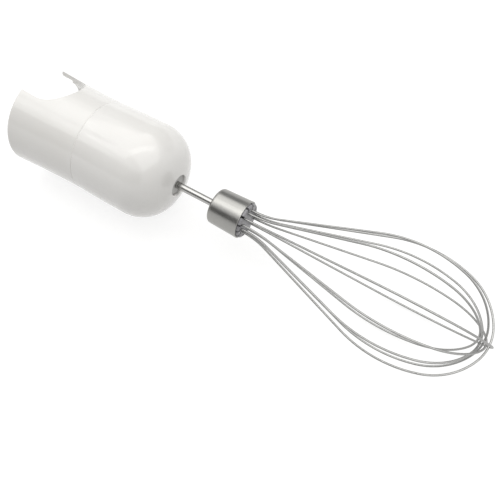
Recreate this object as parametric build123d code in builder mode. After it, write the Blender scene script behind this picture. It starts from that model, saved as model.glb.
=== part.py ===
from build123d import *

import os
from math import asin, atan2, cos, degrees, hypot, radians, sin, sqrt

os.makedirs("parts", exist_ok=True)

# Whisk attachment of a hand blender, lying on its side. Its axis is X and the whisk points to +X.
# The origin is the centre of the seat inside the coupling cup, where the blender's nose comes to rest.
# Millimetres, measured along the axis from that seat unless a comment says otherwise.

# Coupling cup
socket_depth = 38.0
socket_diameter = 48.4
rim_diameter = 55.0
rim_rounding = 0.8
socket_lead_in = 0.6
socket_mouth_diameter = 50.8
socket_mouth_depth = 7.5
cup_floor = 3.0
latch_groove_from_seat = 5.5
latch_groove_width = 3.5
latch_groove_depth = 0.7
notch_turn = 58.8
notch_width = 31.6
notch_depth = 25.2
far_recess_turn = 15.0
far_recess_arc = 98.0
far_recess_depth = 5.4
far_recess_corner = 2.5

# Seam between the cup and the dome, and the dome's outline
seam_from_seat = 5.2
seam_diameter = 52.2
seam_bevel = 0.3
belly_diameter = 53.6
nose_from_seat = 57.0
shoulder_radius = 20.0
nose_radius = 36.0
nose_hole_diameter = 12.1
nose_hole_rounding = 0.5
shell_wall = 2.2

# Screws that clamp the cup, the ring gear's flange and the dome
screw_count = 3
screw_turn = 30.0
screw_circle_radius = 21.5
screw_shank_diameter = 2.6
screw_head_diameter = 4.6
screw_head_height = 1.6
screw_head_sunk = 0.2
screw_length = 14.0
screw_cross_length = 2.8
screw_cross_width = 0.7
screw_cross_depth = 0.9
screw_clearance = 0.2
boss_radius = 3.0
boss_extra_length = 3.0

# Planetary gears: the same sun, planets and ring in both stages
gear_module = 0.8
sun_teeth = 15
planet_teeth = 12
planet_count = 3
planet_turn = 90.0
gear_face = 7.0
pressure_angle = 20.0
tooth_reach = 0.64
tooth_root_depth = 0.88
ring_tooth_reach = 0.44
tooth_slack = 0.06
ring_wall = 2.0
ring_flange = 2.5
ring_flange_gap = 0.2
planet_pin_diameter = 3.0
carrier_plate = 2.3
carrier_gap = 0.55
axial_gap = 0.3
washer_thickness = 0.5
running_gap = 0.05

# Drive input
well_depth = 11.0
well_bottom = 4.0
well_wall = 2.0
coupler_diameter = 15.8
coupler_gap = 0.4
drive_socket_depth = 6.0
drive_socket_diameter = 7.8
drive_lobe_count = 6
drive_lobe_diameter = 2.2
input_shaft_diameter = 5.0
input_bush_wall = 2.0

# Output hub, its bush and its seal
hub_diameter = 11.7
hub_recess = 1.4
hub_mouth_chamfer = 0.15
hub_collar_diameter = 16.0
hub_collar_length = 2.0
output_plate = 2.8
output_bush_wall = 1.7
output_bush_length = 10.0
seal_length = 2.8
seal_lip = 0.8
bush_boss_wall = 2.4
nose_lip_gap = 0.3

# Whisk shaft and the grip ring that holds it in the hub
shaft_diameter = 4.0
shaft_seat_from_plate = 1.5
shaft_flat_length = 6.0
shaft_flat_width = 3.2
shaft_chamfer = 0.4
grip_ring_thickness = 1.2
grip_ring_from_mouth = 8.5
grip_groove_depth = 0.2
grip_groove_clearance = 0.1

# Ferrule and plug
ferrule_from_nose = 23.4
ferrule_length = 18.3
ferrule_diameter = 20.9
ferrule_back_diameter = 19.5
ferrule_wall = 0.8
ferrule_corner = 1.8
ferrule_lip = 0.3
plug_reach = 1.5
plug_edge = 0.9
plug_inset = 0.4
plug_clearance = 0.03
shaft_end_in_plug = 3.0
wire_slot_clearance = 0.08

# Whisk wires: loops of one wire, each in a plane through the axis
loop_turns = (4.0, 45.0, 74.0, 106.0, 136.0, 159.0)
wire_diameter = 1.1
wire_circle_radius = 6.4
wire_tail = 12.0
flare_from_ferrule = 2.6
basket_radius = 30.5
longest_tip_from_nose = 176.2
tip_step = 1.45
nesting_rank = (1, 3, 5, 0, 2, 4)
tip_tightening = 8.2
shoulder_easing = 2.8
belly_easing = 34.4
loop_shoulder_turn = 72.0
flare_radius = 43.0
shortest_leg = 4.0

# Radii and stations that follow from the sizes above
socket_radius = socket_diameter / 2
socket_mouth_radius = socket_mouth_diameter / 2
notch_end_radius = notch_width / 2
rim_radius = rim_diameter / 2
seam_radius = seam_diameter / 2
belly_radius = belly_diameter / 2
inner_seam_radius = seam_radius - shell_wall
nose_hole_radius = nose_hole_diameter / 2
hub_radius = hub_diameter / 2
shaft_radius = shaft_diameter / 2
wire_radius = wire_diameter / 2
input_shaft_radius = input_shaft_diameter / 2
pin_radius = planet_pin_diameter / 2
screw_radius = screw_shank_diameter / 2
coupler_radius = coupler_diameter / 2
well_radius = coupler_radius + coupler_gap

ring_teeth = sun_teeth + 2 * planet_teeth
sun_pitch_radius = gear_module * sun_teeth / 2
planet_pitch_radius = gear_module * planet_teeth / 2
ring_pitch_radius = gear_module * ring_teeth / 2
planet_circle_radius = sun_pitch_radius + planet_pitch_radius
sun_root_radius = sun_pitch_radius - tooth_root_depth
ring_tip_radius = ring_pitch_radius - ring_tooth_reach
ring_root_radius = ring_pitch_radius + tooth_root_depth
ring_outer_radius = ring_root_radius + ring_wall
carrier_radius = ring_tip_radius - carrier_gap
input_bush_radius = input_shaft_radius + running_gap + input_bush_wall
planet_outer_reach = planet_circle_radius + planet_pitch_radius - tooth_reach

well_end = well_depth + well_bottom
first_gears = well_end + washer_thickness + axial_gap
first_carrier_face = first_gears + gear_face + axial_gap
middle_washer_face = first_carrier_face + carrier_plate
second_gears = middle_washer_face + washer_thickness + axial_gap
output_carrier_face = second_gears + gear_face + axial_gap
output_collar_face = output_carrier_face + output_plate
output_bush_face = output_collar_face + hub_collar_length + axial_gap
seal_face = output_bush_face + output_bush_length + axial_gap
nose_lip_face = seal_face + seal_length + nose_lip_gap
output_bush_radius = hub_radius + running_gap + output_bush_wall
bush_boss_radius = output_bush_radius + bush_boss_wall
hub_end = nose_from_seat - hub_recess
shaft_seat = output_carrier_face + shaft_seat_from_plate
grip_ring_station = hub_end - grip_ring_from_mouth
flange_end = cup_floor + ring_flange
ferrule_start = nose_from_seat + ferrule_from_nose
ferrule_end = ferrule_start + ferrule_length
ferrule_draft = (ferrule_diameter - ferrule_back_diameter) / 2 / ferrule_length
plug_end = ferrule_end + plug_reach
plug_start = ferrule_start + ferrule_wall + plug_inset
flare_start = ferrule_end + flare_from_ferrule

# The loop's arcs: tighter than the basket's radius at the tip, and easier towards the belly
tip_radius = basket_radius - tip_tightening
loop_shoulder_radius = basket_radius + shoulder_easing
loop_belly_radius = basket_radius + belly_easing


def radial_plane(turn):
    """Plane through the axis: its x is the axis and its y points outwards at the given turn."""
    angle = radians(turn)
    return Plane(origin=(0, 0, 0), x_dir=(1, 0, 0), z_dir=(0, -sin(angle), cos(angle)))


def facing_plane(turn):
    """Plane on the axis whose normal points outwards at the given turn."""
    angle = radians(turn)
    return Plane(origin=(0, 0, 0), x_dir=(1, 0, 0), z_dir=(0, cos(angle), sin(angle)))


def planet_plane(turn, station):
    """Plane across a planet gear's own axis, with its x pointing away from the main axis."""
    angle = radians(turn)
    centre = (station, planet_circle_radius * cos(angle), planet_circle_radius * sin(angle))
    return Plane(origin=centre, x_dir=(0, cos(angle), sin(angle)), z_dir=(1, 0, 0))


def flank_angle(teeth, radius, slack):
    """Half the angle that an involute tooth takes up at a radius, in radians."""
    pitch_radius = gear_module * teeth / 2
    base_radius = pitch_radius * cos(radians(pressure_angle))
    at_radius = sqrt(max((radius / base_radius) ** 2 - 1, 0.0))
    at_pitch = sqrt((pitch_radius / base_radius) ** 2 - 1)
    involute_here = at_radius - atan2(at_radius, 1)
    involute_at_pitch = at_pitch - atan2(at_pitch, 1)
    half_at_pitch = radians(90 / teeth) - slack / pitch_radius
    return half_at_pitch + involute_at_pitch - involute_here


def tooth_face(teeth, inner_radius, outer_radius, slack):
    """One tooth on the x axis, from inside the inner radius to the outer radius."""
    base_radius = gear_module * teeth / 2 * cos(radians(pressure_angle))
    flank_start = max(base_radius, inner_radius)
    flank_middle = (flank_start + outer_radius) / 2

    def flank_point(radius, side):
        angle = side * flank_angle(teeth, max(radius, flank_start), slack)
        return (radius * cos(angle), radius * sin(angle))

    sunk_radius = inner_radius - tooth_slack
    with BuildSketch() as tooth:
        with BuildLine():
            for side in (1, -1):
                Line(flank_point(sunk_radius, side), flank_point(flank_start, side))
                ThreePointArc(
                    flank_point(flank_start, side),
                    flank_point(flank_middle, side),
                    flank_point(outer_radius, side),
                )
            ThreePointArc(flank_point(outer_radius, 1), (outer_radius, 0), flank_point(outer_radius, -1))
            Line(flank_point(sunk_radius, -1), flank_point(sunk_radius, 1))
        make_face()
    return tooth.sketch


sun_tooth = tooth_face(sun_teeth, sun_root_radius, sun_pitch_radius + tooth_reach, tooth_slack)
planet_tooth = tooth_face(
    planet_teeth, planet_pitch_radius - tooth_root_depth, planet_pitch_radius + tooth_reach, tooth_slack
)
ring_gap = tooth_face(ring_teeth, ring_tip_radius, ring_root_radius, -tooth_slack)

# Coupling cup: moulded gloss plastic, open towards the blender. Its rim has the round-ended release notch,
# and a shallow recess beside it that leaves a narrow finger of the wall between the two
with BuildPart() as coupling_cup:
    with BuildSketch(Plane.XZ):
        with BuildLine():
            TangentArc((seam_from_seat, seam_radius), (-socket_depth, rim_radius), tangent=(-1, 0))
            Polyline(
                (-socket_depth, rim_radius),
                (-socket_depth, socket_mouth_radius + socket_lead_in),
                (-socket_depth + socket_lead_in, socket_mouth_radius),
                (-socket_depth + socket_mouth_depth, socket_mouth_radius),
                (-socket_depth + socket_mouth_depth, socket_radius),
                (0, socket_radius),
                (0, well_radius),
                (well_depth, well_radius),
                (well_depth, input_bush_radius),
                (well_end, input_bush_radius),
                (well_end, well_radius + well_wall),
                (cup_floor, well_radius + well_wall),
                (cup_floor, inner_seam_radius),
                (seam_from_seat, inner_seam_radius),
                (seam_from_seat, seam_radius),
            )
        make_face()
    revolve(axis=Axis.X)
    rim_edge = coupling_cup.edges().filter_by(GeomType.CIRCLE).group_by(Axis.X)[0].sort_by(SortBy.RADIUS)[-1]
    fillet(rim_edge, rim_rounding)
    seam_edge = coupling_cup.edges().filter_by(GeomType.CIRCLE).filter_by(
        lambda edge: abs(edge.radius - seam_radius) < seam_bevel
    )
    chamfer(seam_edge, seam_bevel)
    with BuildSketch(Plane.XZ):
        groove_middle = -latch_groove_from_seat - latch_groove_width / 2
        with Locations((groove_middle, socket_radius)):
            Rectangle(latch_groove_width, 2 * latch_groove_depth)
    revolve(axis=Axis.X, mode=Mode.SUBTRACT)
    with BuildSketch(facing_plane(notch_turn)):
        with Locations((notch_depth - notch_end_radius - socket_depth, 0)):
            Circle(notch_end_radius)
            Rectangle(2 * notch_depth, notch_width, align=(Align.MAX, Align.CENTER))
    extrude(amount=rim_diameter, mode=Mode.SUBTRACT)
    with BuildSketch(radial_plane(far_recess_turn)):
        with Locations((-socket_depth, rim_radius)):
            Rectangle(2 * far_recess_depth, rim_radius)
    revolve(axis=-Axis.X, revolution_arc=far_recess_arc, mode=Mode.SUBTRACT)
    recess_corners = coupling_cup.edges().filter_by(GeomType.LINE).filter_by(
        lambda edge: abs(edge.center().X + socket_depth - far_recess_depth) < far_recess_corner / 100
    )
    fillet(recess_corners, far_recess_corner)
    with BuildSketch(Plane.YZ):
        with PolarLocations(screw_circle_radius, screw_count, start_angle=screw_turn):
            Circle(screw_head_diameter / 2 + screw_clearance)
    extrude(amount=screw_head_height + screw_head_sunk, mode=Mode.SUBTRACT)
    with BuildSketch(Plane.YZ):
        with PolarLocations(screw_circle_radius, screw_count, start_angle=screw_turn):
            Circle(screw_radius + screw_clearance)
    extrude(amount=cup_floor, mode=Mode.SUBTRACT)
coupling_cup.part.label = "coupling_cup"
export_step(coupling_cup.part, "parts/coupling_cup.step")

# Dome shell: moulded gloss plastic, closed nose with the hole that the whisk's hub turns in
hole_angle = degrees(asin(nose_hole_radius / nose_radius))
nose_centre = nose_from_seat - nose_radius * cos(radians(hole_angle))
shoulder_centre = belly_radius - shoulder_radius
shoulder_start = nose_centre + sqrt((nose_radius - shoulder_radius) ** 2 - shoulder_centre**2)
shoulder_end_angle = degrees(atan2(shoulder_centre, shoulder_start - nose_centre))
inner_nose_radius = nose_radius - shell_wall
boss_angle = degrees(asin(bush_boss_radius / inner_nose_radius))
boss_end = flange_end + screw_length + boss_extra_length
with BuildPart() as dome_shell:
    with BuildSketch(Plane.XZ):
        with BuildLine():
            TangentArc((shoulder_start, belly_radius), (seam_from_seat, seam_radius), tangent=(-1, 0))
            CenterArc(
                (shoulder_start, shoulder_centre), shoulder_radius, 90, shoulder_end_angle - 90
            )
            CenterArc((nose_centre, 0), nose_radius, shoulder_end_angle, hole_angle - shoulder_end_angle)
            inner_shoulder = CenterArc(
                (shoulder_start, shoulder_centre), shoulder_radius - shell_wall, 90, shoulder_end_angle - 90
            )
            inner_nose = CenterArc(
                (nose_centre, 0), inner_nose_radius, shoulder_end_angle, boss_angle - shoulder_end_angle
            )
            Polyline(
                (nose_from_seat, nose_hole_radius),
                (nose_lip_face, nose_hole_radius),
                (nose_lip_face, output_bush_radius),
                (output_bush_face, output_bush_radius),
                (output_bush_face, bush_boss_radius),
                inner_nose @ 1,
            )
            Polyline(inner_shoulder @ 0, (seam_from_seat, inner_seam_radius), (seam_from_seat, seam_radius))
        make_face()
    revolve(axis=Axis.X)
    seam_edge = dome_shell.edges().filter_by(GeomType.CIRCLE).filter_by(
        lambda edge: abs(edge.radius - seam_radius) < seam_bevel
    )
    chamfer(seam_edge, seam_bevel)
    mouth_edge = dome_shell.edges().filter_by(GeomType.CIRCLE).group_by(Axis.X)[-1]
    fillet(mouth_edge, nose_hole_rounding)
    with BuildSketch(Plane.YZ.offset(flange_end)):
        with PolarLocations(screw_circle_radius, screw_count, start_angle=screw_turn):
            Circle(boss_radius)
    extrude(amount=boss_end - flange_end)
    with BuildSketch(Plane.YZ.offset(flange_end)):
        with PolarLocations(screw_circle_radius, screw_count, start_angle=screw_turn):
            Circle(screw_radius)
    extrude(amount=screw_length, mode=Mode.SUBTRACT)
dome_shell.part.label = "dome_shell"
export_step(dome_shell.part, "parts/dome_shell.step")

# Ring gear: moulded nylon, one row of inner teeth for both stages, clamped by its flange
with BuildPart() as ring_gear:
    with BuildSketch(Plane.YZ.offset(cup_floor)):
        Circle(ring_outer_radius)
    extrude(amount=output_carrier_face - cup_floor)
    with BuildSketch(Plane.YZ.offset(cup_floor)):
        Circle(inner_seam_radius - ring_flange_gap)
        with PolarLocations(screw_circle_radius, screw_count, start_angle=screw_turn):
            Circle(screw_radius + screw_clearance, mode=Mode.SUBTRACT)
    extrude(amount=ring_flange)
    with BuildSketch(Plane.YZ.offset(cup_floor)):
        Circle(ring_root_radius)
    extrude(amount=well_end - cup_floor, mode=Mode.SUBTRACT)
    with BuildSketch(Plane.YZ.offset(well_end)):
        Circle(ring_tip_radius)
        with PolarLocations(0, ring_teeth, start_angle=planet_turn + 180 / ring_teeth):
            add(ring_gap)
    extrude(amount=output_carrier_face - well_end, mode=Mode.SUBTRACT)
ring_gear.part.label = "ring_gear"
export_step(ring_gear.part, "parts/ring_gear.step")

# Case screws: steel self-tapping screws put in from the cup, their heads sunk in the seat
with BuildPart() as case_screws:
    with BuildSketch(Plane.YZ.offset(screw_head_sunk)):
        with PolarLocations(screw_circle_radius, screw_count, start_angle=screw_turn):
            Circle(screw_head_diameter / 2)
    extrude(amount=screw_head_height)
    with BuildSketch(Plane.YZ.offset(screw_head_sunk + screw_head_height)):
        with PolarLocations(screw_circle_radius, screw_count, start_angle=screw_turn):
            Circle(screw_radius)
    extrude(amount=flange_end + screw_length - screw_head_sunk - screw_head_height)
    with BuildSketch(Plane.YZ.offset(screw_head_sunk)):
        with PolarLocations(screw_circle_radius, screw_count, start_angle=screw_turn):
            Rectangle(screw_cross_length, screw_cross_width)
            Rectangle(screw_cross_width, screw_cross_length)
    extrude(amount=screw_cross_depth, mode=Mode.SUBTRACT)
case_screws.part.label = "case_screws"
export_step(case_screws.part, "parts/case_screws.step")


def disc_ring(station, length, inner_radius, outer_radius):
    """A plain ring round the main axis."""
    with BuildPart() as ring:
        with BuildSketch(Plane.YZ.offset(station)):
            Circle(outer_radius)
            Circle(inner_radius, mode=Mode.SUBTRACT)
        extrude(amount=length)
    return ring.part


# Bushes: sintered bronze, pressed into the cup's well and into the dome's boss
input_bush = disc_ring(well_depth, well_bottom, input_shaft_radius + running_gap, input_bush_radius)
input_bush.label = "input_bush"
export_step(input_bush, "parts/input_bush.step")

output_bush = disc_ring(output_bush_face, output_bush_length, hub_radius + running_gap, output_bush_radius)
output_bush.label = "output_bush"
export_step(output_bush, "parts/output_bush.step")

# Thrust washers: spring steel, one on the end of the well and one on the first carrier
well_washer = disc_ring(well_end, washer_thickness, input_shaft_radius + axial_gap, planet_outer_reach)
well_washer.label = "well_washer"
export_step(well_washer, "parts/well_washer.step")

middle_washer = disc_ring(
    middle_washer_face, washer_thickness, sun_root_radius + running_gap, planet_outer_reach - axial_gap
)
middle_washer.label = "middle_washer"
export_step(middle_washer, "parts/middle_washer.step")

# Hub seal: soft rubber ring with a lip on the hub, between the bush and the nose
with BuildPart() as hub_seal:
    with BuildSketch(Plane.XZ):
        with BuildLine():
            Polyline(
                (seal_face, output_bush_radius),
                (seal_face, hub_radius + seal_lip),
                (seal_face + seal_lip, hub_radius + seal_lip),
                (seal_face + seal_lip, hub_radius + running_gap),
                (seal_face + 2 * seal_lip, hub_radius + running_gap),
                (seal_face + seal_length, hub_radius + seal_lip),
                (seal_face + seal_length, output_bush_radius),
                close=True,
            )
        make_face()
    revolve(axis=Axis.X)
hub_seal.part.label = "hub_seal"
export_step(hub_seal.part, "parts/hub_seal.step")

# Drive coupler: moulded nylon, with the lobed socket that takes the blender's drive tip
coupler_end = well_depth - axial_gap
drive_socket_floor = coupler_gap + drive_socket_depth
with BuildPart() as drive_coupler:
    with BuildSketch(Plane.YZ.offset(coupler_gap)):
        Circle(coupler_radius)
    extrude(amount=coupler_end - coupler_gap)
    with BuildSketch(Plane.YZ.offset(coupler_gap)):
        Circle(drive_socket_diameter / 2)
        with PolarLocations(drive_socket_diameter / 2, drive_lobe_count):
            Circle(drive_lobe_diameter / 2)
    extrude(amount=drive_socket_depth, mode=Mode.SUBTRACT)
    with BuildSketch(Plane.YZ.offset(drive_socket_floor)):
        Circle(input_shaft_radius)
    extrude(amount=coupler_end - drive_socket_floor, mode=Mode.SUBTRACT)
    mouth_edge = drive_coupler.edges().group_by(Axis.X)[0].sort_by(SortBy.LENGTH)[-1]
    chamfer(mouth_edge, axial_gap)
drive_coupler.part.label = "drive_coupler"
export_step(drive_coupler.part, "parts/drive_coupler.step")

# Input shaft: ground steel rod, pressed into the coupler and the first sun
with BuildPart() as input_shaft:
    with BuildSketch(Plane.YZ.offset(drive_socket_floor)):
        Circle(input_shaft_radius)
    extrude(amount=first_gears + gear_face - drive_socket_floor)
input_shaft.part.label = "input_shaft"
export_step(input_shaft.part, "parts/input_shaft.step")

# First sun gear: acetal, pressed on the input shaft
with BuildPart() as first_sun:
    with BuildSketch(Plane.YZ.offset(first_gears)):
        Circle(sun_root_radius)
        with PolarLocations(0, sun_teeth, start_angle=planet_turn):
            add(sun_tooth)
        Circle(input_shaft_radius, mode=Mode.SUBTRACT)
    extrude(amount=gear_face)
first_sun.part.label = "first_sun"
export_step(first_sun.part, "parts/first_sun.step")

# First carrier: acetal plate and the second stage's sun, moulded in one
with BuildPart() as first_carrier:
    with BuildSketch(Plane.YZ.offset(first_carrier_face)):
        Circle(carrier_radius)
        with PolarLocations(planet_circle_radius, planet_count, start_angle=planet_turn):
            Circle(pin_radius, mode=Mode.SUBTRACT)
    extrude(amount=carrier_plate)
    with BuildSketch(Plane.YZ.offset(middle_washer_face)):
        Circle(sun_root_radius)
    extrude(amount=second_gears - middle_washer_face)
    with BuildSketch(Plane.YZ.offset(second_gears)):
        Circle(sun_root_radius)
        with PolarLocations(0, sun_teeth, start_angle=planet_turn):
            add(sun_tooth)
    extrude(amount=gear_face)
first_carrier.part.label = "first_carrier"
export_step(first_carrier.part, "parts/first_carrier.step")

# Output carrier: acetal plate, thrust collar and socket hub in one, with flats that drive the whisk shaft
socket_flat_end = shaft_seat + shaft_flat_length - axial_gap
hub_groove = grip_ring_thickness + 2 * grip_groove_clearance
with BuildPart() as output_carrier:
    with BuildSketch(Plane.YZ.offset(output_carrier_face)):
        Circle(carrier_radius)
        with PolarLocations(planet_circle_radius, planet_count, start_angle=planet_turn):
            Circle(pin_radius, mode=Mode.SUBTRACT)
    extrude(amount=output_plate)
    with BuildSketch(Plane.YZ.offset(output_collar_face)):
        Circle(hub_collar_diameter / 2)
    extrude(amount=hub_collar_length)
    with BuildSketch(Plane.YZ.offset(output_collar_face)):
        Circle(hub_radius)
    extrude(amount=hub_end - output_collar_face)
    with BuildSketch(Plane.YZ.offset(shaft_seat - axial_gap)) as flatted_bore:
        Circle(shaft_radius + running_gap)
        Rectangle(2 * shaft_diameter, shaft_flat_width + 2 * running_gap, mode=Mode.INTERSECT)
    extrude(amount=socket_flat_end - shaft_seat + axial_gap, mode=Mode.SUBTRACT)
    with BuildSketch(Plane.YZ.offset(socket_flat_end)):
        Circle(shaft_radius + running_gap)
    extrude(amount=hub_end - socket_flat_end, mode=Mode.SUBTRACT)
    with BuildSketch(Plane.XZ):
        with Locations((grip_ring_station, shaft_radius + grip_ring_thickness / 2)):
            Rectangle(hub_groove, hub_groove)
    revolve(axis=Axis.X, mode=Mode.SUBTRACT)
    mouth_edge = output_carrier.edges().group_by(Axis.X)[-1].sort_by(SortBy.RADIUS)[0]
    chamfer(mouth_edge, hub_mouth_chamfer)
output_carrier.part.label = "output_carrier"
export_step(output_carrier.part, "parts/output_carrier.step")

# Grip ring: rubber ring in the hub's groove that holds the whisk shaft
with BuildPart() as grip_ring:
    with BuildSketch(Plane.XZ):
        with Locations((grip_ring_station, shaft_radius + grip_ring_thickness / 2 + running_gap / 2)):
            Circle(grip_ring_thickness / 2)
    revolve(axis=Axis.X)
grip_ring.part.label = "grip_ring"
export_step(grip_ring.part, "parts/grip_ring.step")

# Planet pins: hardened steel, pressed through each carrier's plate
for stage_name, gears_start, plate_end in (
    ("first", first_gears, middle_washer_face),
    ("second", second_gears, output_collar_face),
):
    with BuildPart() as planet_pins:
        with BuildSketch(Plane.YZ.offset(gears_start)):
            with PolarLocations(planet_circle_radius, planet_count, start_angle=planet_turn):
                Circle(pin_radius)
        extrude(amount=plate_end - gears_start)
    planet_pins.part.label = f"{stage_name}_planet_pins"
    export_step(planet_pins.part, f"parts/{stage_name}_planet_pins.step")

    # Planet gears: acetal, each turning on its own pin
    for planet in range(planet_count):
        turn = planet_turn + planet * 360 / planet_count
        with BuildPart() as planet_gear:
            with BuildSketch(planet_plane(turn, gears_start)):
                Circle(planet_pitch_radius - tooth_root_depth)
                with PolarLocations(0, planet_teeth, start_angle=180 / planet_teeth):
                    add(planet_tooth)
                Circle(pin_radius + running_gap, mode=Mode.SUBTRACT)
            extrude(amount=gear_face)
        planet_gear.part.label = f"{stage_name}_planet_{planet + 1}"
        export_step(planet_gear.part, f"parts/{stage_name}_planet_{planet + 1}.step")

# Whisk shaft: polished steel rod, flatted at the end that goes into the hub
shaft_end = plug_end - shaft_end_in_plug
with BuildPart() as whisk_shaft:
    with BuildSketch(Plane.YZ.offset(shaft_seat)):
        Circle(shaft_radius)
    extrude(amount=shaft_end - shaft_seat)
    end_edge = whisk_shaft.edges().group_by(Axis.X)[0]
    chamfer(end_edge, shaft_chamfer)
    with BuildSketch(Plane.YZ.offset(shaft_seat)):
        for side in (1, -1):
            with Locations((0, side * (shaft_flat_width / 2 + shaft_radius))):
                Rectangle(2 * shaft_diameter, 2 * shaft_radius)
    extrude(amount=shaft_flat_length, mode=Mode.SUBTRACT)
    with BuildSketch(Plane.XZ):
        with Locations((grip_ring_station, shaft_radius)):
            Rectangle(grip_ring_thickness, 2 * grip_groove_depth)
    revolve(axis=Axis.X, mode=Mode.SUBTRACT)
whisk_shaft.part.label = "whisk_shaft"
export_step(whisk_shaft.part, "parts/whisk_shaft.step")


def ferrule_radius(station, depth):
    """Radius of the ferrule's slightly tapered wall at a station, at a depth below its outside."""
    return ferrule_back_diameter / 2 + (station - ferrule_start) * ferrule_draft - depth


# Ferrule: deep-drawn stainless cap with a little draft, crimped round the plug
with BuildPart() as ferrule:
    with BuildSketch(Plane.XZ):
        with BuildLine():
            Polyline(
                (ferrule_start, 0),
                (ferrule_start, ferrule_radius(ferrule_start, 0)),
                (ferrule_end, ferrule_radius(ferrule_end, 0)),
                (ferrule_end, ferrule_radius(ferrule_end, ferrule_wall)),
                (ferrule_start + ferrule_wall, ferrule_radius(ferrule_start + ferrule_wall, ferrule_wall)),
                (ferrule_start + ferrule_wall, 0),
                close=True,
            )
        make_face()
    revolve(axis=Axis.X)
    back_edge = ferrule.edges().filter_by(GeomType.CIRCLE).group_by(Axis.X)[0]
    fillet(back_edge, ferrule_corner)
    inner_back_edge = ferrule.edges().filter_by(GeomType.CIRCLE).filter_by(
        lambda edge: abs(edge.center().X - ferrule_start - ferrule_wall) < ferrule_lip
    )
    fillet(inner_back_edge, ferrule_corner - ferrule_wall)
    front_edges = ferrule.edges().filter_by(GeomType.CIRCLE).group_by(Axis.X)[-1]
    fillet(front_edges, ferrule_lip)
    with BuildSketch(Plane.YZ.offset(ferrule_start)):
        Circle(shaft_radius)
    extrude(amount=ferrule_length, mode=Mode.SUBTRACT)
ferrule.part.label = "ferrule"
export_step(ferrule.part, "parts/ferrule.step")

# Wire plug: moulded plastic, slotted all round so that each wire end lies at the bottom of a slot
plug_depth = ferrule_wall + plug_clearance
slot_half_width = wire_radius + wire_slot_clearance
slot_length = ferrule_diameter / 2 - wire_circle_radius
slot_middle = wire_circle_radius + slot_length / 2
with BuildPart() as wire_plug:
    with BuildSketch(Plane.XZ):
        with BuildLine():
            Polyline(
                (plug_start, 0),
                (plug_start, ferrule_radius(plug_start, plug_depth)),
                (plug_end, ferrule_radius(plug_end, plug_depth)),
                (plug_end, 0),
                close=True,
            )
        make_face()
    revolve(axis=Axis.X)
    back_edge = wire_plug.edges().filter_by(GeomType.CIRCLE).group_by(Axis.X)[0]
    fillet(back_edge, ferrule_corner - ferrule_wall)
    front_edge = wire_plug.edges().group_by(Axis.X)[-1]
    fillet(front_edge, plug_edge)
    with BuildSketch(Plane.YZ.offset(flare_start - wire_tail - wire_slot_clearance)):
        for loop_turn in loop_turns:
            with PolarLocations(wire_circle_radius, 2, start_angle=loop_turn):
                Circle(slot_half_width)
            with PolarLocations(slot_middle, 2, start_angle=loop_turn):
                Rectangle(slot_length, 2 * slot_half_width)
    extrude(amount=wire_tail + plug_reach, mode=Mode.SUBTRACT)
    with BuildSketch(Plane.YZ.offset(plug_start)):
        Circle(shaft_radius)
    extrude(amount=shaft_end - plug_start, mode=Mode.SUBTRACT)
wire_plug.part.label = "wire_plug"
export_step(wire_plug.part, "parts/wire_plug.step")


# Wire loops: stainless wire, bent to a balloon and nested so that no two touch where they cross the axis
def bend_loop(tip_station):
    """Arc centres and angles of one loop whose outermost point on the axis is at tip_station."""
    shoulder_reach = (loop_belly_radius - loop_shoulder_radius) * sin(radians(loop_shoulder_turn))
    tip_turn = asin((belly_easing - shoulder_reach) / (tip_tightening + shoulder_easing))
    tip_centre = tip_station - tip_radius
    shoulder = (
        tip_centre - (tip_tightening + shoulder_easing) * cos(tip_turn),
        -(tip_tightening + shoulder_easing) * sin(tip_turn),
    )
    belly = (
        shoulder[0] + (loop_shoulder_radius - loop_belly_radius) * cos(radians(loop_shoulder_turn)),
        -belly_easing,
    )
    # The flare at the plug is a bend like a fillet, held back where a short basket leaves little room for it
    along, across = belly[0] - flare_start, wire_circle_radius + belly_easing
    free_length = along**2 + across**2 - loop_belly_radius**2 - shortest_leg**2
    bend_radius = min(flare_radius, free_length / (2 * (loop_belly_radius - across)))
    across += bend_radius
    leg_slope = asin((loop_belly_radius + bend_radius) / hypot(along, across)) - atan2(across, along)
    return tip_centre, tip_turn, shoulder, belly, bend_radius, leg_slope


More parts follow.
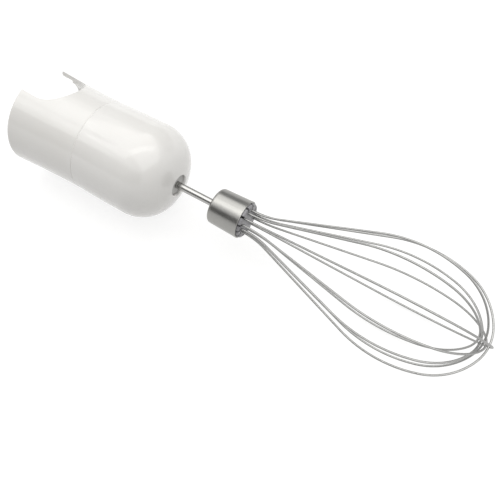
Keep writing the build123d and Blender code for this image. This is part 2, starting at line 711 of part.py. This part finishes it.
for loop, loop_turn in enumerate(loop_turns):
    loop_plane = radial_plane(loop_turn)
    tip_station = nose_from_seat + longest_tip_from_nose - nesting_rank[loop] * tip_step
    tip_centre, tip_turn, shoulder, belly, bend_radius, leg_slope = bend_loop(tip_station)
    bend_across = wire_circle_radius + bend_radius
    with BuildPart() as wire_loop:
        with BuildLine(loop_plane) as bent_wire:
            CenterArc((tip_centre, 0), tip_radius, -degrees(tip_turn), 2 * degrees(tip_turn))
            for side in (1, -1):
                tip_end = degrees(tip_turn)
                CenterArc(
                    (shoulder[0], side * shoulder[1]),
                    loop_shoulder_radius,
                    side * tip_end,
                    side * (loop_shoulder_turn - tip_end),
                )
                CenterArc(
                    (belly[0], side * belly[1]),
                    loop_belly_radius,
                    side * loop_shoulder_turn,
                    side * (90 + degrees(leg_slope) - loop_shoulder_turn),
                )
                CenterArc(
                    (flare_start, side * bend_across), bend_radius, -side * 90, side * degrees(leg_slope)
                )
                leg_start = (
                    flare_start + bend_radius * sin(leg_slope),
                    side * (bend_across - bend_radius * cos(leg_slope)),
                )
                leg_end = (
                    belly[0] - loop_belly_radius * sin(leg_slope),
                    side * (belly[1] + loop_belly_radius * cos(leg_slope)),
                )
                Line(leg_start, leg_end)
                tail_start = (flare_start - wire_tail, side * wire_circle_radius)
                Line(tail_start, (flare_start, side * wire_circle_radius))
        wire_end = loop_plane.from_local_coords((flare_start - wire_tail, wire_circle_radius, 0))
        start_plane = Plane(origin=wire_end, z_dir=(1, 0, 0))
        with BuildSketch(start_plane):
            Circle(wire_radius)
        sweep(path=bent_wire.wires()[0])
    wire_loop.part.label = f"wire_loop_{loop + 1}"
    export_step(wire_loop.part, f"parts/wire_loop_{loop + 1}.step")
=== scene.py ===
import math

import bpy
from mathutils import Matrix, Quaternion, Vector


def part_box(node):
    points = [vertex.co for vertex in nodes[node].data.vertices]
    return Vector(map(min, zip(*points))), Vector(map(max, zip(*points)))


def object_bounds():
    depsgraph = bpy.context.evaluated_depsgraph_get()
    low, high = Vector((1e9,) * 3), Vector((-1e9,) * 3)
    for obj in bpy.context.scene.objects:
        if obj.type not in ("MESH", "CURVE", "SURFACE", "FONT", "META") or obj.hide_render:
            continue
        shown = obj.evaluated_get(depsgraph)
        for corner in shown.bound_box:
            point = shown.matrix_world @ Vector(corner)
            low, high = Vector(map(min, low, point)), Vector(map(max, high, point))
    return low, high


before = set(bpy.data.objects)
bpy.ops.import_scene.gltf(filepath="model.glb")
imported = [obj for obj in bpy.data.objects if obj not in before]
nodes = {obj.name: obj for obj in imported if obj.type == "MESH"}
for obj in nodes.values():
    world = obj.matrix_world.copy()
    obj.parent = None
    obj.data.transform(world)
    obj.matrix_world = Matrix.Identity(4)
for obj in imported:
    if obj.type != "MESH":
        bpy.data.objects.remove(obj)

cad_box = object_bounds()

# Coupling cup: the open half of the housing, which slips over the nose of the blender's motor handle.
# It is injection moulded in white ABS from a polished mould, in one piece with the well for the input bush.
# Its rim is scuffed a little where it goes on and off the handle.
cup_white = (0.872, 0.866, 0.85)
cup_shade = (0.852, 0.844, 0.824)
cup_scuff = (0.78, 0.77, 0.745)
cup_gloss = (0.13, 0.21)
cup_rim_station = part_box("coupling_cup")[0].x
cup_scuffed_length = 0.0016
cup_scuff_size = 0.0012
abs_patch_size = 0.03
abs_dulled_size = 0.009
abs_hairline_size = 0.004
abs_hairline_squeeze = (1.0, 9.0, 7.0)
abs_hairline_roughness = 0.05
abs_wave_size, abs_wave_depth = 0.006, 0.000012
abs_grain_size, abs_grain_depth = 0.0003, 0.0000012


def start_finish(name, metallic=0.0):
    """A new material with its shader, as bare as the piece is before it is finished."""
    finish = bpy.data.materials.new(name)
    finish.use_nodes = True
    shader = finish.node_tree.nodes["Principled BSDF"]
    shader.inputs["Metallic"].default_value = metallic
    return finish, shader


def place_on_piece(finish, squeeze=(1.0, 1.0, 1.0)):
    """Places in metres that are fixed to the piece, with its patterns squeezed along its axes."""
    tree = finish.node_tree
    place = tree.nodes.new("ShaderNodeTexCoord")
    squeezed = tree.nodes.new("ShaderNodeMapping")
    squeezed.inputs["Scale"].default_value = squeeze
    tree.links.new(place.outputs["Object"], squeezed.inputs["Vector"])
    return squeezed.outputs["Vector"]


def mottle(finish, place, lump, fineness=2.0):
    """Soft irregular patches whose lumps are about that many metres across."""
    noise = finish.node_tree.nodes.new("ShaderNodeTexNoise")
    noise.inputs["Scale"].default_value = 1 / lump
    noise.inputs["Detail"].default_value = fineness
    finish.node_tree.links.new(place, noise.inputs["Vector"])
    return noise.outputs["Fac"]


def between(finish, source, low, high, source_low=0.32, source_high=0.68):
    """A number that goes from low to high as the source goes through its own range.

    The range that it has by itself is the one that nearly all of a mottle lies in.
    """
    span = finish.node_tree.nodes.new("ShaderNodeMapRange")
    span.inputs["From Min"].default_value = source_low
    span.inputs["From Max"].default_value = source_high
    span.inputs["To Min"].default_value = low
    span.inputs["To Max"].default_value = high
    finish.node_tree.links.new(source, span.inputs["Value"])
    return span.outputs["Result"]


def tinted(finish, source, first, second):
    """A colour between two tints, each given with the source's value where it is reached."""
    ramp = finish.node_tree.nodes.new("ShaderNodeValToRGB")
    for element, (reached, tint) in zip(ramp.color_ramp.elements, (first, second)):
        element.position = reached
        element.color = (*tint, 1.0)
    finish.node_tree.links.new(source, ramp.inputs["Fac"])
    return ramp.outputs["Color"]


def stained(finish, base, stain, share):
    """The base colour with a stain laid over it where share is above nothing."""
    mix = finish.node_tree.nodes.new("ShaderNodeMix")
    mix.data_type = "RGBA"
    base_socket, stain_socket = (socket for socket in mix.inputs if socket.type == "RGBA")
    stain_socket.default_value = (*stain, 1.0)
    finish.node_tree.links.new(base, base_socket)
    finish.node_tree.links.new(share, mix.inputs["Factor"])
    return next(socket for socket in mix.outputs if socket.type == "RGBA")


def relief(finish, source, depth, under=None):
    """The source as a shallow relief of that many metres, laid over another one."""
    bump = finish.node_tree.nodes.new("ShaderNodeBump")
    bump.inputs["Distance"].default_value = depth
    finish.node_tree.links.new(source, bump.inputs["Height"])
    if under is not None:
        finish.node_tree.links.new(under, bump.inputs["Normal"])
    return bump.outputs["Normal"]


def calculated(finish, how, first, second):
    """Two numbers put together, as the name of the sum says."""
    sum_node = finish.node_tree.nodes.new("ShaderNodeMath")
    sum_node.operation = how
    for socket, value in zip(sum_node.inputs, (first, second)):
        if isinstance(value, (int, float)):
            socket.default_value = value
        else:
            finish.node_tree.links.new(value, socket)
    return sum_node.outputs[0]


def near_station(finish, place, share, station, fading_out_at):
    """The share at a station of the main axis, which fades to nothing at another station."""
    split = finish.node_tree.nodes.new("ShaderNodeSeparateXYZ")
    finish.node_tree.links.new(place, split.inputs["Vector"])
    if station < fading_out_at:
        return between(finish, split.outputs["X"], share, 0.0, station, fading_out_at)
    return between(finish, split.outputs["X"], 0.0, share, fading_out_at, station)


def complete(finish, shader, colour, roughness, surface):
    """Joins the worked-out colour, roughness and relief to the shader."""
    for socket, source in (("Base Color", colour), ("Roughness", roughness), ("Normal", surface)):
        finish.node_tree.links.new(source, shader.inputs[socket])


def wear(name, finish):
    """Puts the finish on the whole of a piece of the frame."""
    piece = nodes[name]
    piece.data.materials.clear()
    piece.data.materials.append(finish)
    for face in piece.data.polygons:
        face.material_index = 0


def gloss_abs(name, white, shade, gloss, scuffed=None):
    """White ABS from a polished mould: faint waviness, fine grain and the dulling of careful use."""
    finish, shader = start_finish(name)
    place = place_on_piece(finish)
    colour = tinted(finish, mottle(finish, place, abs_patch_size), (0.35, shade), (0.65, white))
    if scuffed is not None:
        colour = scuffed(finish, place, colour)
    dulled = mottle(finish, place, abs_dulled_size, 5.0)
    scratched = place_on_piece(finish, abs_hairline_squeeze)
    hairlines = mottle(finish, scratched, abs_hairline_size, 6.0)
    roughness = calculated(
        finish,
        "ADD",
        between(finish, dulled, *gloss),
        between(finish, hairlines, 0.0, abs_hairline_roughness, 0.55, 0.8),
    )
    waves = relief(finish, mottle(finish, place, abs_wave_size), abs_wave_depth)
    grain = relief(finish, mottle(finish, place, abs_grain_size, 3.0), abs_grain_depth, waves)
    complete(finish, shader, colour, roughness, grain)
    shader.inputs["IOR"].default_value = 1.53
    shader.inputs["Coat Weight"].default_value = 0.25
    shader.inputs["Coat Roughness"].default_value = 0.06
    return finish


def rim_scuffs(finish, place, colour):
    """The cup's colour with dull specks close to the rim."""
    near_rim = near_station(finish, place, 1.0, cup_rim_station, cup_rim_station + cup_scuffed_length)
    specks = between(finish, mottle(finish, place, cup_scuff_size, 8.0), 0.0, 0.7, 0.5, 0.7)
    return stained(finish, colour, cup_scuff, calculated(finish, "MULTIPLY", near_rim, specks))


wear("coupling_cup", gloss_abs("cup_gloss_abs", cup_white, cup_shade, cup_gloss, rim_scuffs))

# Input bush: a plain bearing of sintered tin bronze, pressed into the cup's well and soaked with oil.
# Its skin shows the fine pores and the darker patches where the oil stands.
bronze_bright = (0.66, 0.43, 0.24)
bronze_oiled = (0.42, 0.27, 0.14)
bronze_roughness = (0.32, 0.5)
bronze_oil_size = 0.0024
bronze_pore_size, bronze_pore_depth = 0.00022, 0.00001

bush_bronze, bronze_shader = start_finish("bush_bronze", 1.0)
bronze_place = place_on_piece(bush_bronze)
bronze_oil = mottle(bush_bronze, bronze_place, bronze_oil_size, 4.0)
bronze_pores = bush_bronze.node_tree.nodes.new("ShaderNodeTexVoronoi")
bronze_pores.inputs["Scale"].default_value = 1 / bronze_pore_size
bush_bronze.node_tree.links.new(bronze_place, bronze_pores.inputs["Vector"])
bronze_pitted = between(bush_bronze, bronze_pores.outputs["Distance"], 0.0, 1.0, 0.1, 0.35)
complete(
    bush_bronze,
    bronze_shader,
    tinted(bush_bronze, bronze_oil, (0.3, bronze_oiled), (0.7, bronze_bright)),
    between(bush_bronze, bronze_oil, *bronze_roughness),
    relief(bush_bronze, bronze_pitted, bronze_pore_depth),
)
wear("input_bush", bush_bronze)

# Drive coupler: grey glass-filled nylon, moulded with the lobed socket that the handle's drive tip turns.
# The tip has rubbed the socket's mouth a little brighter.
coupler_grey = (0.3, 0.305, 0.31)
coupler_light = (0.36, 0.365, 0.37)
coupler_rubbed = (0.46, 0.465, 0.47)
coupler_rubbed_share = 0.6
coupler_rubbed_length = 0.0007
coupler_mouth_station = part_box("drive_coupler")[0].x
nylon_streak_size = 0.0015
nylon_streak_squeeze = (1.0, 3.0, 5.0)
nylon_roughness = (0.36, 0.52)
nylon_fibre_size, nylon_fibre_depth = 0.00025, 0.000006


def filled_nylon(name, dark, light, wear_and_painted_light=None):
    """Nylon with short glass fibre: a dull skin with fine streaks where the fibres lie near it."""
    finish, shader = start_finish(name)
    place = place_on_piece(finish)
    streaks = mottle(finish, place_on_piece(finish, nylon_streak_squeeze), nylon_streak_size, 6.0)
    colour = tinted(finish, streaks, (0.35, dark), (0.65, light))
    if wear_and_painted_light is not None:
        colour = wear_and_painted_light(finish, place, colour)
    fibres = relief(finish, mottle(finish, place, nylon_fibre_size, 4.0), nylon_fibre_depth)
    complete(finish, shader, colour, between(finish, streaks, *nylon_roughness), fibres)
    return finish


def rubbed_mouth(finish, place, colour):
    """The coupler's colour, paler at the mouth of its socket."""
    wear_and_painted_light_to = coupler_mouth_station + coupler_rubbed_length
    near_mouth = near_station(finish, place, coupler_rubbed_share, coupler_mouth_station, wear_and_painted_light_to)
    return stained(finish, colour, coupler_rubbed, near_mouth)


wear("drive_coupler", filled_nylon("coupler_nylon", coupler_grey, coupler_light, rubbed_mouth))

# Input shaft and thrust washers: ground steel rod and stamped spring steel, lightly oiled.
# Grinding leaves fine lines round the rod and across the washers.
ground_bright = (0.63, 0.63, 0.62)
ground_dark = (0.5, 0.5, 0.5)
ground_roughness = (0.16, 0.28)
ground_line_size, ground_line_depth = 0.00012, 0.0000012
handling_stain_size = 0.006
line_waver = 0.03
line_share, stain_share = 0.6, 0.4


def turned_place(finish):
    """Places along and out from the main axis, so that lines follow the lathe or the grinding wheel."""
    tree = finish.node_tree
    place = place_on_piece(finish)
    split = tree.nodes.new("ShaderNodeSeparateXYZ")
    tree.links.new(place, split.inputs["Vector"])
    across = tree.nodes.new("ShaderNodeVectorMath")
    across.operation = "MULTIPLY"
    across.inputs[1].default_value = (0.0, 1.0, 1.0)
    tree.links.new(place, across.inputs[0])
    outwards = tree.nodes.new("ShaderNodeVectorMath")
    outwards.operation = "LENGTH"
    tree.links.new(across.outputs["Vector"], outwards.inputs[0])
    sideways = calculated(finish, "ADD", split.outputs["Y"], split.outputs["Z"])
    joined = tree.nodes.new("ShaderNodeCombineXYZ")
    tree.links.new(split.outputs["X"], joined.inputs["X"])
    tree.links.new(outwards.outputs["Value"], joined.inputs["Y"])
    tree.links.new(calculated(finish, "MULTIPLY", sideways, line_waver), joined.inputs["Z"])
    return joined.outputs["Vector"]


def lined_steel(name, bright, dark, roughness, line, depth, stain_size=handling_stain_size):
    """Steel with fine lines round the main axis, and the faint stains of oil and handling."""
    finish, shader = start_finish(name, 1.0)
    lines = mottle(finish, turned_place(finish), line, 3.0)
    stains = mottle(finish, place_on_piece(finish), stain_size, 4.0)
    tone = calculated(
        finish,
        "ADD",
        calculated(finish, "MULTIPLY", lines, line_share),
        calculated(finish, "MULTIPLY", stains, stain_share),
    )
    complete(
        finish,
        shader,
        tinted(finish, tone, (0.38, dark), (0.6, bright)),
        between(finish, tone, *roughness, 0.38, 0.62),
        relief(finish, lines, depth),
    )
    return finish, shader


ground_steel, _ = lined_steel(
    "ground_steel", ground_bright, ground_dark, ground_roughness, ground_line_size, ground_line_depth
)
for ground_piece in ("input_shaft", "well_washer", "middle_washer"):
    wear(ground_piece, ground_steel)

# Sun and planet gears, and the first carrier with the second sun on it: natural acetal, moulded to size.
# The teeth carry a thin film of pale grease, which is glossier than the bare plastic and gathers in patches.
acetal_white = (0.8, 0.79, 0.745)
acetal_warm = (0.75, 0.735, 0.68)
acetal_patch_size = 0.006
acetal_skin_size, acetal_skin_depth = 0.0002, 0.000003
bare_roughness, greased_roughness = 0.42, 0.14
grease_tint = (0.7, 0.64, 0.46)
grease_thickest = 0.8
grease_patch_size, grease_depth = 0.0025, 0.00004
planet_gears = [f"{stage}_planet_{gear}" for stage in ("first", "second") for gear in (1, 2, 3)]

gear_acetal, acetal_shader = start_finish("gear_acetal")
acetal_place = place_on_piece(gear_acetal)
grease_patches = mottle(gear_acetal, acetal_place, grease_patch_size, 5.0)
grease_film = between(gear_acetal, grease_patches, 0.0, grease_thickest, 0.5, 0.66)
acetal_patches = mottle(gear_acetal, acetal_place, acetal_patch_size)
acetal_colour = tinted(gear_acetal, acetal_patches, (0.35, acetal_warm), (0.65, acetal_white))
acetal_lumps = mottle(gear_acetal, acetal_place, acetal_skin_size, 3.0)
acetal_skin = relief(gear_acetal, acetal_lumps, acetal_skin_depth)
complete(
    gear_acetal,
    acetal_shader,
    stained(gear_acetal, acetal_colour, grease_tint, grease_film),
    between(gear_acetal, grease_film, bare_roughness, greased_roughness, 0.0, grease_thickest),
    relief(gear_acetal, grease_film, grease_depth, acetal_skin),
)
for gear_name in ("first_sun", "first_carrier", *planet_gears):
    wear(gear_name, gear_acetal)

# Planet pins: hardened steel dowels, ground bright and pressed through each carrier's plate.
# The planets turn on them, so they are the smoothest steel in the gearbox.
pin_bright = (0.68, 0.68, 0.67)
pin_dark = (0.56, 0.56, 0.56)
pin_roughness = (0.1, 0.2)
pin_line_size, pin_line_depth = 0.00009, 0.000001
pin_steel, _ = lined_steel(
    "pin_steel", pin_bright, pin_dark, pin_roughness, pin_line_size, pin_line_depth
)
for pin_row in ("first_planet_pins", "second_planet_pins"):
    wear(pin_row, pin_steel)

# Ring gear: the same glass-filled nylon as the coupler, a shade darker. Its flange is clamped between the
# cup and the dome, and the three screws pass through it.
ring_dark = (0.24, 0.245, 0.25)
ring_light = (0.29, 0.295, 0.3)
wear("ring_gear", filled_nylon("ring_nylon", ring_dark, ring_light))

# Output carrier: the second carrier's plate and the grey hub that shows in the nose hole, in one moulding.
# The hub's face that shows in the nose hole is painted paler: painted light that lifts the shade of the
# recess.
hub_grey = (0.42, 0.42, 0.41)
hub_light = (0.48, 0.48, 0.47)
# Painted light: the paler colour laid on the hub's face that shows, with its share and how deep it reaches.
hub_painted_light = (0.56, 0.56, 0.55)
hub_painted_light_share = 0.5
hub_painted_light_length = 0.0008
hub_face_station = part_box("output_carrier")[1].x


def face_with_painted_light(finish, place, colour):
    """The hub's colour with painted light: paler on the face that shows, against the shade of the nose hole.
    """
    wear_and_painted_light_to = hub_face_station - hub_painted_light_length
    painted_light_near_face = near_station(finish, place, hub_painted_light_share, hub_face_station, wear_and_painted_light_to)
    return stained(finish, colour, hub_painted_light, painted_light_near_face)


wear("output_carrier", filled_nylon("hub_nylon", hub_grey, hub_light, face_with_painted_light))

# Output bush: sintered bronze soaked with oil, like the input bush. It is pressed into the boss behind the
# nose, and the hub turns in it.
wear("output_bush", bush_bronze)

# Hub seal and grip ring: moulded black nitrile rubber with a dull skin and a faint bloom. The seal's lip
# keeps food out of the bush, and the ring lies in the hub's groove and holds the whisk's shaft.
rubber_black = (0.02, 0.02, 0.021)
rubber_bloom = (0.055, 0.055, 0.058)
rubber_roughness = (0.48, 0.68)
rubber_bloom_size = 0.0016
rubber_skin_size, rubber_skin_depth = 0.00018, 0.000008


def patchy(name, tints, roughness, patches, skin, depth, metallic=0.0):
    """A finish with patches of two tints and roughnesses, and a fine relief all over.

    patches and skin each give the size of their lumps and how fine they are.
    """
    finish, shader = start_finish(name, metallic)
    place = place_on_piece(finish)
    patched = mottle(finish, place, *patches)
    complete(
        finish,
        shader,
        tinted(finish, patched, *tints),
        between(finish, patched, *roughness),
        relief(finish, mottle(finish, place, *skin), depth),
    )
    return finish


seal_rubber = patchy(
    "seal_rubber",
    ((0.42, rubber_black), (0.7, rubber_bloom)),
    rubber_roughness,
    (rubber_bloom_size, 6.0),
    (rubber_skin_size, 4.0),
    rubber_skin_depth,
)
for rubber_ring in ("hub_seal", "grip_ring"):
    wear(rubber_ring, seal_rubber)

# Dome shell: the closed half of the housing, moulded in the same white ABS from a mould polished as bright.
# Its nose hole lets the hub turn, and it meets the cup at a fine bevelled seam.
dome_white = (0.874, 0.869, 0.855)
dome_shade = (0.856, 0.849, 0.831)
dome_gloss = (0.11, 0.18)
wear("dome_shell", gloss_abs("dome_gloss_abs", dome_white, dome_shade, dome_gloss))

# Case screws: zinc-plated self-tapping screws, driven from inside the cup through the ring gear's flange.
# The plating is slightly bluish, with the fine spangle that the plating bath leaves.
zinc_bright = (0.6, 0.62, 0.65)
zinc_dark = (0.44, 0.46, 0.5)
zinc_roughness = (0.24, 0.42)
zinc_spangle_size = 0.0009
zinc_skin_size, zinc_skin_depth = 0.0002, 0.000004
screw_zinc = patchy(
    "screw_zinc",
    ((0.35, zinc_dark), (0.65, zinc_bright)),
    zinc_roughness,
    (zinc_spangle_size, 5.0),
    (zinc_skin_size, 4.0),
    zinc_skin_depth,
    metallic=1.0,
)
wear("case_screws", screw_zinc)

# Whisk shaft: 4 mm stainless rod, centreless ground and polished, and flatted at the end that goes in the
# hub. The polish leaves lines round it that are too fine to see one by one.
shaft_bright = (0.43, 0.426, 0.414)
shaft_dark = (0.39, 0.386, 0.376)
shaft_roughness = (0.19, 0.25)
shaft_line_size, shaft_line_depth = 0.00008, 0.0000006
shaft_stain_size = 0.01
shaft_polish, _ = lined_steel(
    "shaft_polish",
    shaft_bright,
    shaft_dark,
    shaft_roughness,
    shaft_line_size,
    shaft_line_depth,
    shaft_stain_size,
)
wear("whisk_shaft", shaft_polish)

# Ferrule: a cap deep drawn from stainless sheet, brushed round on a lathe to a satin finish and pressed on
# the plug. The brushing shows as fine lines round it, which draw the reflections out along it.
satin_bright = (0.35, 0.346, 0.332)
satin_dark = (0.31, 0.307, 0.295)
satin_roughness = (0.32, 0.38)
satin_line_size, satin_line_depth = 0.00009, 0.0000013
satin_stain_size = 0.012
satin_stretch = 0.55
quarter_turn = 0.25
ferrule_satin, ferrule_shader = lined_steel(
    "ferrule_satin",
    satin_bright,
    satin_dark,
    satin_roughness,
    satin_line_size,
    satin_line_depth,
    satin_stain_size,
)
ferrule_shader.inputs["Anisotropic"].default_value = satin_stretch
ferrule_shader.inputs["Anisotropic Rotation"].default_value = quarter_turn
brushed_round = ferrule_satin.node_tree.nodes.new("ShaderNodeTangent")
brushed_round.direction_type = "RADIAL"
brushed_round.axis = "X"
ferrule_satin.node_tree.links.new(brushed_round.outputs["Tangent"], ferrule_shader.inputs["Tangent"])
wear("ferrule", ferrule_satin)

# Wire plug: grey moulded plastic with a slot for each wire end, held in the ferrule by the crimp.
# It is paler in patches, where it rubs on the wires and on the dish brush.
plug_dark = (0.27, 0.268, 0.285)
plug_light = (0.34, 0.338, 0.355)
plug_roughness = (0.3, 0.46)
plug_patch_size = 0.0022
plug_skin_size, plug_skin_depth = 0.0003, 0.000008
plug_plastic = patchy(
    "plug_plastic",
    ((0.35, plug_dark), (0.68, plug_light)),
    plug_roughness,
    (plug_patch_size, 5.0),
    (plug_skin_size, 3.0),
    plug_skin_depth,
)
wear("wire_plug", plug_plastic)

# Wire loops: drawn stainless spring wire, each one length bent to a balloon with both ends in the plug.
# The drawing lines run too fine to see, and washing leaves faint dull patches.
wire_bright = (0.37, 0.37, 0.362)
wire_dull = (0.33, 0.33, 0.325)
wire_roughness = (0.34, 0.42)
wire_mark_size = 0.009
wire_skin_size, wire_skin_depth = 0.0001, 0.0000005
wire_drawn = patchy(
    "wire_drawn",
    ((0.35, wire_dull), (0.65, wire_bright)),
    wire_roughness,
    (wire_mark_size, 5.0),
    (wire_skin_size, 3.0),
    wire_skin_depth,
    metallic=1.0,
)
for loop_name in sorted(name for name in nodes if name.startswith("wire_loop_")):
    wear(loop_name, wire_drawn)

# Floor: a plain pale matt sheet, just low enough for the widest wires to turn clear of it. Seen straight or
# in the metal it is white, and it keeps a faint shadow.
turning_room = 0.00124
floor_level = cad_box[0].z - turning_room
floor_width = 1.5
floor_pale = (0.8, 0.8, 0.8, 1.0)
floor_glow = 0.78
floor_shadow_share = (0.33, 0.33, 0.33, 1.0)


def flat_sheet(name, length, width):
    """A flat rectangle about its own centre, as a new object of the scene."""
    corners = [(x * length / 2, y * width / 2, 0) for x, y in ((-1, -1), (1, -1), (1, 1), (-1, 1))]
    mesh = bpy.data.meshes.new(name)
    mesh.from_pydata(corners, [], [(0, 1, 2, 3)])
    sheet = bpy.data.objects.new(name, mesh)
    bpy.context.scene.collection.objects.link(sheet)
    return sheet


def bare_surface(name, sheet):
    """A new material on the sheet with no shader in it yet: its node tree, and where its surface goes."""
    surface = bpy.data.materials.new(name)
    surface.use_nodes = True
    sheet.data.materials.append(surface)
    tree = surface.node_tree
    tree.nodes.remove(tree.nodes["Principled BSDF"])
    return tree, tree.nodes["Material Output"].inputs["Surface"]


def seen_as(tree, lights_with, looks_like, output):
    """Lights the scene with one shader, and shows the other to the camera, in mirrors and through glass."""
    path = tree.nodes.new("ShaderNodeLightPath")
    seen = path.outputs["Is Camera Ray"]
    for ray in ("Is Glossy Ray", "Is Transmission Ray"):
        either = tree.nodes.new("ShaderNodeMath")
        either.operation = "MAXIMUM"
        tree.links.new(seen, either.inputs[0])
        tree.links.new(path.outputs[ray], either.inputs[1])
        seen = either.outputs[0]
    both = tree.nodes.new("ShaderNodeMixShader")
    tree.links.new(seen, both.inputs["Fac"])
    tree.links.new(lights_with, both.inputs[1])
    tree.links.new(looks_like, both.inputs[2])
    tree.links.new(both.outputs["Shader"], output)


floor = flat_sheet("floor", floor_width, floor_width)
floor.location.z = floor_level
floor_tree, floor_output = bare_surface("floor_sheet", floor)
floor_matt = floor_tree.nodes.new("ShaderNodeBsdfDiffuse")
floor_matt.inputs["Color"].default_value = floor_pale
floor_white = floor_tree.nodes.new("ShaderNodeEmission")
floor_white.inputs["Strength"].default_value = floor_glow
floor_shadowed = floor_tree.nodes.new("ShaderNodeBsdfDiffuse")
floor_shadowed.inputs["Color"].default_value = floor_shadow_share
floor_seen = floor_tree.nodes.new("ShaderNodeAddShader")
floor_tree.links.new(floor_white.outputs["Emission"], floor_seen.inputs[0])
floor_tree.links.new(floor_shadowed.outputs["BSDF"], floor_seen.inputs[1])
seen_as(floor_tree, floor_matt.outputs["BSDF"], floor_seen.outputs["Shader"], floor_output)

# Studio: even pale light from all round that reads as white behind the object, a large soft box overhead with
# a narrow brighter one in it, a weak one on the cup's side, and dark cards that only the metal sees.
studio_tint = (1.0, 0.985, 0.965, 1.0)
studio_strength = 0.27
studio_centre = Vector((0.09, 0.0, 0.0))
neutral_white = (1.0, 0.992, 0.975)
cool_white = (1.0, 0.995, 0.985)
warm_white = (1.0, 0.99, 0.965)

studio = bpy.data.worlds.new("studio")
bpy.context.scene.world = studio
studio.use_nodes = True
studio_tree = studio.node_tree
studio_light = studio_tree.nodes["Background"]
studio_light.inputs["Color"].default_value = studio_tint
studio_light.inputs["Strength"].default_value = studio_strength
studio_white = studio_tree.nodes.new("ShaderNodeBackground")
studio_white.inputs["Color"].default_value = (1.0, 1.0, 1.0, 1.0)
studio_white.inputs["Strength"].default_value = 1.0
studio_output = studio_tree.nodes["World Output"].inputs["Surface"]
seen_as(studio_tree, studio_light.outputs[0], studio_white.outputs[0], studio_output)


def towards(turn, tip, distance):
    """A place in the studio: turn is the angle round the whisk's axis from +Y, and tip leans it along it."""
    turn, tip = math.radians(turn), math.radians(tip)
    lean = Vector((math.sin(tip), math.cos(tip) * math.cos(turn), math.cos(tip) * math.sin(turn)))
    return studio_centre + distance * lean


def soft_box(name, place, length, width, brightness, tint):
    """A large soft lamp that faces the object; brightness is what its cloth would read in a mirror."""
    lamp = bpy.data.lights.new(name, "AREA")
    lamp.shape = "RECTANGLE"
    lamp.size, lamp.size_y = length, width
    lamp.energy = brightness * math.pi * length * width
    lamp.color = tint
    holder = bpy.data.objects.new(name, lamp)
    bpy.context.scene.collection.objects.link(holder)
    holder.location = place
    holder.rotation_mode = "QUATERNION"
    holder.rotation_quaternion = (studio_centre - place).to_track_quat("-Z", "Y")


def dark_card(name, place, length, width, shade):
    """A matt card that is seen only in mirrors, as a photographer sets beside bright metal."""
    card = flat_sheet(name, length, width)
    facing = (studio_centre - place).normalized()
    facing_turn = facing.to_track_quat("Z", "Y")
    card_length = facing_turn @ Vector((1, 0, 0))
    along_whisk = Vector((1, 0, 0)) - facing * facing.x
    swing = math.atan2(facing.dot(card_length.cross(along_whisk)), card_length.dot(along_whisk))
    card.rotation_mode = "QUATERNION"
    card.rotation_quaternion = Quaternion(facing, swing) @ facing_turn
    card.location = place
    card.visible_camera = card.visible_diffuse = card.visible_shadow = card.visible_transmission = False
    card_tree, card_output = bare_surface(name, card)
    felt = card_tree.nodes.new("ShaderNodeEmission")
    felt.inputs["Color"].default_value = (shade, shade, shade, 1.0)
    felt.inputs["Strength"].default_value = 1.0
    card_tree.links.new(felt.outputs["Emission"], card_output)


soft_box("overhead_box", towards(74, 6, 1.1), 2.3, 1.35, 1.27, neutral_white)
soft_box("cup_side_box", towards(100, -58, 1.3), 1.0, 1.0, 0.85, cool_white)
soft_box("strip_box", towards(80, -8, 1.1), 1.7, 0.3, 1.4, warm_white)
dark_card("near_side_card", towards(141, -14, 0.9), 2.2, 0.52, 0.14)
dark_card("far_side_card", towards(18, 0, 1.6), 3.0, 1.0, 0.4)

# Camera: above the whisk and a little to its right, as the photograph was taken. Its place, its direction
# and its lens come from the outlines in the photograph.
camera_place = Vector((0.1969, -0.1063, 0.3045))
camera_look = Vector((-0.26476, 0.28205, -0.92215))
camera_roll = math.radians(-12.89)
camera_data = bpy.data.cameras.new("camera")
camera_data.sensor_width = 36
camera_data.lens = 46.8
camera = bpy.data.objects.new("camera", camera_data)
bpy.context.scene.collection.objects.link(camera)
camera.location = camera_place
camera.rotation_mode = "QUATERNION"
camera.rotation_quaternion = camera_look.to_track_quat("-Z", "Y") @ Quaternion((0, 0, 1), camera_roll)
bpy.context.scene.camera = camera
bpy.context.scene.view_settings.view_transform = "Standard"
